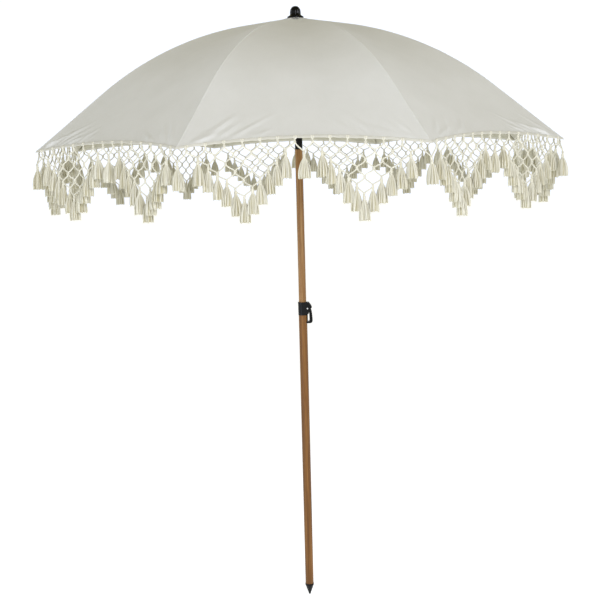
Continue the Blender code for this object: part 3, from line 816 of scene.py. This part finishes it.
def tassel_parts(seed):
    """A round head, a wrapped neck, and a skirt of loose strands over a fluted core painted dark as the shade
    between them, hung from z = 0.
    """
    rng = random.Random(seed)
    head = [(0, 0.0015), (0.0024, 0.0010), (0.0041, -0.0015)]
    head += [(0.0046, -0.0045), (0.0040, -0.0080), (0.0030, -0.0098)]

    def dented(angle, height):
        return 1 + 0.07 * math.cos(6 * angle + 300 * height)

    parts = [(turned(head, 12, dented), 0.62)]
    around = circle(14)
    for wrap in range(4):
        z = -0.0090 - 0.0014 * wrap + 0.0006 * np.sin(around)
        r = 0.0036 + 0.0002 * wrap
        path = np.stack([r * np.cos(around), r * np.sin(around), z], -1)
        parts.append((tube(path, 0.00095, 5, (0, 0, 1), True), 0.70))
    top, core_end = -0.0130, -TASSEL_LONG + 0.003
    core = [(0, top + 0.001)]
    for t in np.arange(9) / 8:
        core.append((0.80 * tassel_r(t), top + (core_end - top) * t))
    core += [(0.55 * TASSEL_R, core_end - 0.0008), (0, core_end - 0.0010)]
    shift = rng.uniform(0, 6)

    def fluted(angle, height):
        coarse = 0.06 * math.sin(9 * angle + shift + 40 * height)
        return 1 + coarse + 0.05 * math.sin(17 * angle - shift)

    # The core's low shade value, 0.16, is painted shade: the dark gaps seen between the strands.
    parts.append((turned(core, 30, fluted), 0.16))
    strands = 26
    for k in range(strands):
        angle = math.tau * (k + rng.uniform(-0.42, 0.42)) / strands
        inside = rng.uniform(0.84, 1.0)
        swirl, bow = rng.uniform(-0.30, 0.30), rng.uniform(-0.0010, 0.0012)
        end = -TASSEL_LONG + rng.uniform(-0.0012, 0.0020)
        t = np.linspace(0, 1, 8)
        reach = tassel_r(t) * inside + bow * np.sin(math.pi * t)
        turn = angle + swirl * t
        z = top + (end - top) * t
        thick = np.array([0.8, 1.1, 1.25, 1.35, 1.42, 1.46, 1.45, 0.9]) * 0.001 * rng.uniform(0.85, 1.12)
        path = np.stack([reach * np.cos(turn), reach * np.sin(turn), z], -1)
        # Each strand's tone differs at random, and the darker fifth is painted shade between the strands.
        shade = rng.uniform(0.52, 1.0) if rng.random() > 0.2 else rng.uniform(0.22, 0.45)
        parts.append((tube(path, thick, 5, (math.sin(angle), -math.cos(angle), 0.0)), shade))
    return parts


def spin(about_z, lean_x, lean_y):
    """A turn about Z and then two leans, as a 3x3 array."""
    lean = Matrix.Rotation(lean_x, 3, "X") @ Matrix.Rotation(lean_y, 3, "Y")
    return np.array(lean @ Matrix.Rotation(about_z, 3, "Z"), float)


class HalfPanel:
    """Places on the V under half a panel: step k, -7 at the rib to 7 at mid-panel, and a depth."""

    def __init__(self, rib, side):
        self.rng = random.Random(20 * rib + side)
        self.wave = self.rng.uniform(0, math.tau)
        self.skew = self.rng.uniform(-3.5, 3.5)
        self.line = cloth_point(RIM_R, side * np.linspace(0, 0.5, 120), 0.0, rib)
        self.steps = np.linspace(-HALF_V, HALF_V, len(self.line))
        along = self.line[-1] - self.line[0]
        self.out = unit(np.array([abs(along[1]), -along[0] * np.sign(along[1]), 0]))

    def at(self, k, depth, out=0.0):
        """A point on the net, which ripples a little like a curtain."""
        base = np.array([np.interp(k, self.steps, self.line[:, i]) for i in range(3)])
        ripple = 0.0035 * math.sin(0.9 * k + self.wave) * depth / 0.1
        base = base + self.out * (0.0012 + ripple + out)
        base[2] -= depth
        return base

    def knots(self):
        """Place of each knot, by (row, k)."""
        found = {}
        for row in range(NET_ROWS + 1):
            reach = NET_ROWS - row
            steps = list(range(-reach, reach + 1, 2))
            if row == 1:
                steps = [-HALF_V, *steps, HALF_V]
            for k in steps:
                loose = abs(k) != HALF_V
                slip = self.rng.uniform(-0.06, 0.06) if loose else 0
                depth = ROW_0_DROP + row * ROW_PITCH + self.rng.uniform(-0.0013, 0.0013) * loose
                depth += VALLEY_EXTRA * (not loose)
                slip += self.skew * (depth - ROW_0_DROP) * loose
                out = self.rng.uniform(-0.0025, 0.0025) if loose else 0
                found[row, k] = self.at(k * (1 - 0.016 * row * loose) + slip, depth, out)
        return found


def strand_between(high, low, out, rng):
    """A slightly slack line from under one knot to the top of the next."""
    across = low - high
    across[2] = 0
    start = high + np.array([0, 0, -0.30 * KNOT_HIGH]) + across * 0.03
    end = low + np.array([0, 0, 0.30 * KNOT_HIGH]) - across * 0.03
    t = np.linspace(0, 1, 9)[:, None]
    slack = rng.uniform(0.0005, 0.0022)
    bow = np.sin(math.pi * t) * (np.array([0, 0, -slack]) + out * rng.uniform(-0.0012, 0.0012))
    sway = 0.6 * t * t * (3 - 2 * t) + 0.4 * t
    drop = np.array([0, 0, 1.0])
    return start + (end - start) * (sway + (t - sway) * drop) + bow


def net_parts(rib, side):
    """The knotted net and the tassels of one V."""
    place = HalfPanel(rib, side)
    rng = place.rng
    net, tassels = Shell(), Shell()
    knots = place.knots()
    hang = 0.0042
    facing = place.out
    for (row, k), at in knots.items():
        shade = 0.55 + rng.uniform(-0.12, 0.12)
        net.add(KNOT, shade, at, spin(rng.uniform(0, 6.28), 0.15 * rng.uniform(-1, 1), 0))
        above = [place.at(k, 0.0035)] if row == 0 else []
        for step in (-1, 1):
            if (row - 1, k + step) in knots:
                above.append(knots[row - 1, k + step])
        for high in above:
            shade = rng.uniform(0.42, 0.74)
            for ply in cord_part(strand_between(high, at, facing, rng), facing, rng.uniform(0, 6)):
                net.add(ply, shade)
    for k in range(-HALF_V + 1, HALF_V, 2):
        loop = [place.at(k - 0.10, -0.0010, 0.0012), place.at(k - 0.11, 0.0060, 0.0016)]
        loop += [place.at(k, 0.0088, 0.0012), place.at(k + 0.11, 0.0060, 0.0016)]
        loop += [place.at(k + 0.10, -0.0010, 0.0012)]
        for ply in cord_part(loop, facing, rng.uniform(0, 6)):
            net.add(ply, 0.6)
    ends = [(row, sign * (NET_ROWS - row)) for row in range(1, NET_ROWS) for sign in (-1, 1)]
    ends += [(NET_ROWS, 0), (1, HALF_V)] + ([(1, -HALF_V)] if side > 0 else [])
    for row, k in ends:
        top = knots[row, k] - np.array([0, 0, hang])
        lean = spin(rng.uniform(0, math.tau), rng.uniform(-0.045, 0.045), rng.uniform(-0.045, 0.045))
        grow = rng.uniform(0.96, 1.04)
        lighter = rng.uniform(-0.12, 0.10)
        for part, shade in rng.choice(TASSELS):
            tassels.add(part, min(max(shade + lighter, 0), 1), top, lean * grow)
    return net, tassels


def fringe_squash(thing):
    """Gives the piece its own copy of its mesh."""
    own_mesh(thing)


def build_fringe():
    """A V of net and tassels on each side of every rib."""
    for number in range(1, RIBS + 1):
        for side, hand in ((-1, "a"), (1, "b")):
            net, tassels = net_parts(number, side)
            turn = turn_of(number)
            net = net.piece(f"net_{number}_{hand}", CORD, turn)
            tassels = tassels.piece(f"tassels_{number}_{hand}", TASSEL, turn)
            for thing in (net, tassels):
                stands_for(thing, f"fringe_{number}", "fringe_cotton")
                fringe_squash(thing)
            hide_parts(f"fringe_{number}")


KNOT = knot_part()
TASSELS = [tassel_parts(seed) for seed in range(6)]


# The pole, the clamp, the tilt joint and the crown


def build_pole():
    """The three tubes."""
    wall = 0.0012
    for node, body, material in (
        ("lower_pole", "base", WOOD_LOW),
        ("upper_pole", "mast", WOOD_TOP),
        ("top_pole", "head", WOOD_TOP),
    ):
        low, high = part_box(node)
        shell = Shell()
        shell.add(pipe(high.x, high.x - wall, low.z, high.z))
        stands_for(shell.piece(f"{node}_tube", material), body, "oak_print", node)


def refine_hard_parts():
    """The moulded parts, each from its CAD node."""
    for node, body, bevel in (
        ("ground_spike", "base", 0.0003),
        ("pole_guide_bush", "mast", 0.0003),
        ("clamp_collar", "base", 0.0006),
        ("clamp_lever", "clamp_lever", 0.0007),
        ("tilt_socket", "mast", 0.0004),
        ("tilt_knuckle", "head", 0.0004),
        ("tilt_button", "tilt_button", 0.0003),
        ("crown_hub", "head", 0.0004),
        ("runner", "runner", 0.0004),
        ("runner_button", "runner_button", 0.0003),
    ):
        stands_for(refined(node, f"{node}_moulding", BLACK, bevel), body, "black_plastic", node)


def build_finial():
    """Domed, fluted cap on a round flange."""
    low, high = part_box("finial")
    top = high.z
    dome = [(0, 0), (0.0060, 0.0008), (0.0110, 0.0030), (0.0160, 0.0085), (0.0190, 0.0160)]
    waist = [(0.0196, 0.0230), (0.0196, 0.0300), (0.0208, 0.0340), (0.0272, 0.0362)]
    rim = [(0.02975, 0.0380), (0.02975, 0.0420), (0.0286, 0.0437), (0.0046, 0.0437)]
    cap = rounded([(radius, top - depth) for radius, depth in dome + waist], 0.0035, 4)[:-1]
    flange = [(radius, top - depth) for radius, depth in rim]
    profile = rounded(cap + flange + [(0.0046, low.z + 0.001), (0, low.z)], 0.0012)

    def flute(angle, height):
        down = min(max((top - 0.004 - height) / 0.006, 0), 1)
        up = min(max((height - (top - 0.033)) / 0.006, 0), 1)
        return 1 - 0.10 * down * up * (0.5 - 0.5 * math.cos(8 * angle)) ** 1.3

    shell = Shell()
    shell.add(turned(profile, 128, flute))
    stands_for(shell.piece("finial_cap", BLACK), "head", "black_plastic", "finial")


def assign(node, material):
    """A carried-over CAD node in a better material."""
    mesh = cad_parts[node].data
    mesh.materials.clear()
    mesh.materials.append(material)


def rod_along(path, ends=0.0):
    """A round rod; its last few millimetres narrow by a share towards each end."""
    near = np.minimum(np.arange(len(path)), np.arange(len(path))[::-1])
    return tube(path, ROD_R * (1 - ends * np.clip(1 - near / 2, 0, 1)), 14, across=(0, 1, 0))


def eye_at(shell, centre, bore):
    """A flat eye round an axis along Y, as thick as the rod."""
    shell.add(pipe(EYE_R, bore, -ROD_R, ROD_R, 0.0005, 28), 0.5, centre, LIE_DOWN)


def bracket(shell):
    """A clip round the rib with two cheeks, and the rivet that holds the stretcher's eye between them."""
    lean = math.atan(float(canopy_fall(ELBOW_R)))
    along = np.array((math.cos(lean), 0, -math.sin(lean)))
    down = np.array((-math.sin(lean), 0, -math.cos(lean)))
    centre = rib_point(ELBOW_R)
    tip = np.array(Matrix.Rotation(math.radians(90) + lean, 3, "Y"))
    shell.add(pipe(0.0044, 0.0022, -0.009, 0.009, 0.0005, 32), 0.5, centre, tip)
    outline = []
    for angle in np.radians(np.linspace(12, 168, 13)):
        outline.append(ELBOW + 0.0038 * (math.cos(angle) * along + math.sin(angle) * down))
    outline = [centre + 0.0078 * along, *outline, centre - 0.0078 * along]
    flat = [(point[0], point[2]) for point in outline]
    near, far = 0.0028, 0.0043
    shell.add(plate(flat, -far, -near))
    shell.add(plate(flat, near, far))
    head = [(0, 0.0056), (0.0012, 0.0054), (0.0020, 0.0048), (0.0021, 0.0043), (0.0011, 0.0042)]
    rivet = head + [(radius, -height) for radius, height in reversed(head)]
    shell.add(turned(rivet, 20), 0.5, ELBOW, LIE_DOWN)


def tie(shell, radius):
    """Two turns of thread that hold the cloth's seam to the rib, and their knot."""
    centre = rib_point(radius, -0.0012)
    lean = Matrix.Rotation(math.atan(float(canopy_fall(radius))), 3, "Y")
    turns = np.linspace(0, 2 * math.tau, 49)
    pitch, wide, high = 0.0009, 0.0030, 0.0043
    loop = np.stack([pitch * turns / math.tau - pitch, wide * np.sin(turns), high * np.cos(turns)], -1)
    shell.add(tube(loop @ np.array(lean).T + centre, 0.00045, 6, across=(1, 0, 0)))
    shell.add((KNOT[0] * 0.42, KNOT[1]), 0.5, centre + np.array((0, 0.0016, -0.0045)))


def wire_ring(height):
    """Steel wire bent into a ring through the eight eyes."""
    angles = circle(96)
    path = np.stack([PIVOT_R * np.cos(angles), PIVOT_R * np.sin(angles), np.full_like(angles, height)], -1)
    return tube(path, WIRE_R, 10, across=(0, 0, 1), closed=True)


def build_ribs():
    """Rods with eyes and riveted brackets, stretchers, thread ties, and the wires through the eyes."""
    rib, stretcher, ties = Shell(), Shell(), Shell()
    rib.add(rod_along([rib_point(r) for r in np.linspace(PIVOT_R + 0.002, RIB_END_R, 90)]))
    eye_at(rib, CROWN_PIVOT, 0.0013)
    bracket(rib)
    along = unit(ELBOW - RUNNER_PIVOT)
    stretcher.add(rod_along(np.linspace(RUNNER_PIVOT + 0.002 * along, ELBOW - 0.002 * along, 24), 0.2))
    eye_at(stretcher, RUNNER_PIVOT, 0.0013)
    eye_at(stretcher, ELBOW, 0.0014)
    for radius in (0.16, 0.33, 0.56, 0.74):
        tie(ties, radius)
    for number in range(1, RIBS + 1):
        turn = turn_of(number)
        rod = rib.piece(f"rib_rod_{number}", RIB_STEEL, turn)
        stands_for(rod, f"rib_{number}", "rib_steel", f"rib_{number}")
        strut = stretcher.piece(f"stretcher_rod_{number}", RIB_STEEL, turn)
        stands_for(strut, f"stretcher_{number}", "rib_steel", f"stretcher_{number}")
        stands_for(ties.piece(f"rib_ties_{number}", THREAD, turn), f"rib_{number}", "canopy_cloth")
        assign(f"rib_tip_{number}", BLACK)
    for node, body, pivot in (("crown_wire", "head", CROWN_PIVOT), ("runner_wire", "runner", RUNNER_PIVOT)):
        ring = Shell()
        ring.add(wire_ring(pivot[2]))
        stands_for(ring.piece(f"{node}_ring", STEEL), body, "steel", node)
    for node in ("clamp_pin", "tilt_pin", "tilt_spring"):
        assign(node, STEEL)


def build_top_patch():
    """A small gathered patch of cloth under the finial's flange."""
    rings, sides = 18, 128
    radius = np.linspace(PATCH_BORE_R, PATCH_R, rings)[:, None]
    angle = circle(sides)
    near = (angle - FIRST_RIB) % RIB_STEP / RIB_STEP
    reach = radius * (1 - 0.04 * np.sin(math.pi * near))
    gather = 0.0005 * np.sin(angle * 24 + 1.2 * np.sin(angle * 5)) * np.minimum(radius / 0.03, 1)
    z = canopy_z(reach) + 0.0012 + gather
    z[-1] -= 0.0006
    points = np.stack([reach * np.cos(angle), reach * np.sin(angle), z], -1).reshape(-1, 3)
    mesh = bpy.data.meshes.new("top_patch_cloth")
    mesh.from_pydata(points.tolist(), [], ring_faces(rings, sides, capped=False))
    patch = placed("top_patch_cloth", mesh, CLOTH, 60)
    planar_uv(patch)
    skin = patch.modifiers.new("Cloth thickness", "SOLIDIFY")
    skin.thickness = CLOTH_T
    stands_for(patch, "head", "canopy_cloth", "top_patch")


# Floor, light and camera


def build_stage():
    """A pale floor that glows a little, so that it shows white."""
    bpy.ops.mesh.primitive_plane_add(size=60, location=(0, 0, -0.002))
    floor = bpy.context.object
    floor.name = "floor"
    paint = Finish("pale floor", 0.9, Emission_Strength=FLOOR_GLOW)
    paint.shader.inputs["Base Color"].default_value = FLOOR_COLOUR
    paint.shader.inputs["Emission Color"].default_value = FLOOR_GLOW_COLOUR
    floor.data.materials.append(paint.material)


def area_light(name, at, size, watts, colour):
    """A square lamp at a place, aimed at the umbrella."""
    data = bpy.data.lights.new(name, "AREA")
    data.size = size
    data.energy = watts
    data.color = colour
    lamp = object_of(name, data)
    lamp.location = at
    lamp.rotation_euler = (Vector(LIGHT_AIM) - Vector(at)).to_track_quat("-Z", "Y").to_euler()


def build_lights():
    """White studio walls that darken overhead, a key light and a fill light."""
    world = bpy.data.worlds.new("studio")
    world.use_nodes = True
    tree = world.node_tree
    at = tree.nodes.new("ShaderNodeTexCoord")
    parts = tree.nodes.new("ShaderNodeSeparateXYZ")
    ramp = tree.nodes.new("ShaderNodeValToRGB")
    ramp.color_ramp.elements[0].position = HORIZON_TO
    ramp.color_ramp.elements[0].color = HORIZON
    ramp.color_ramp.elements[1].position = OVERHEAD_FROM
    ramp.color_ramp.elements[1].color = OVERHEAD
    tree.links.new(at.outputs["Generated"], parts.inputs["Vector"])
    tree.links.new(parts.outputs["Z"], ramp.inputs["Fac"])
    tree.links.new(ramp.outputs["Color"], tree.nodes["Background"].inputs["Color"])
    tree.nodes["Background"].inputs["Strength"].default_value = WALL_STRENGTH
    bpy.context.scene.world = world
    area_light("key", KEY_AT, KEY_WIDE, KEY_WATTS, KEY_COLOUR)
    area_light("fill", FILL_AT, FILL_WIDE, FILL_WATTS, FILL_COLOUR)


def build_camera():
    """A camera with everything in focus, a little to the left of the front."""
    data = bpy.data.cameras.new("camera")
    data.lens = CAMERA_LENS
    data.sensor_width = 36
    camera = object_of("camera", data)
    swing = Matrix.Rotation(math.radians(CAMERA_SWING), 4, "Z")
    pitch = Matrix.Rotation(math.radians(CAMERA_TILT), 4, "X")
    roll = Matrix.Rotation(math.radians(CAMERA_ROLL), 4, "Z")
    camera.matrix_world = Matrix.Translation(CAMERA_AT) @ swing @ pitch @ roll
    bpy.context.scene.camera = camera
    bpy.context.scene.view_settings.view_transform = "Standard"


build_stage()
build_lights()
build_camera()
build_canopy()
build_fringe()
build_pole()
refine_hard_parts()
build_finial()
build_ribs()
build_top_patch()
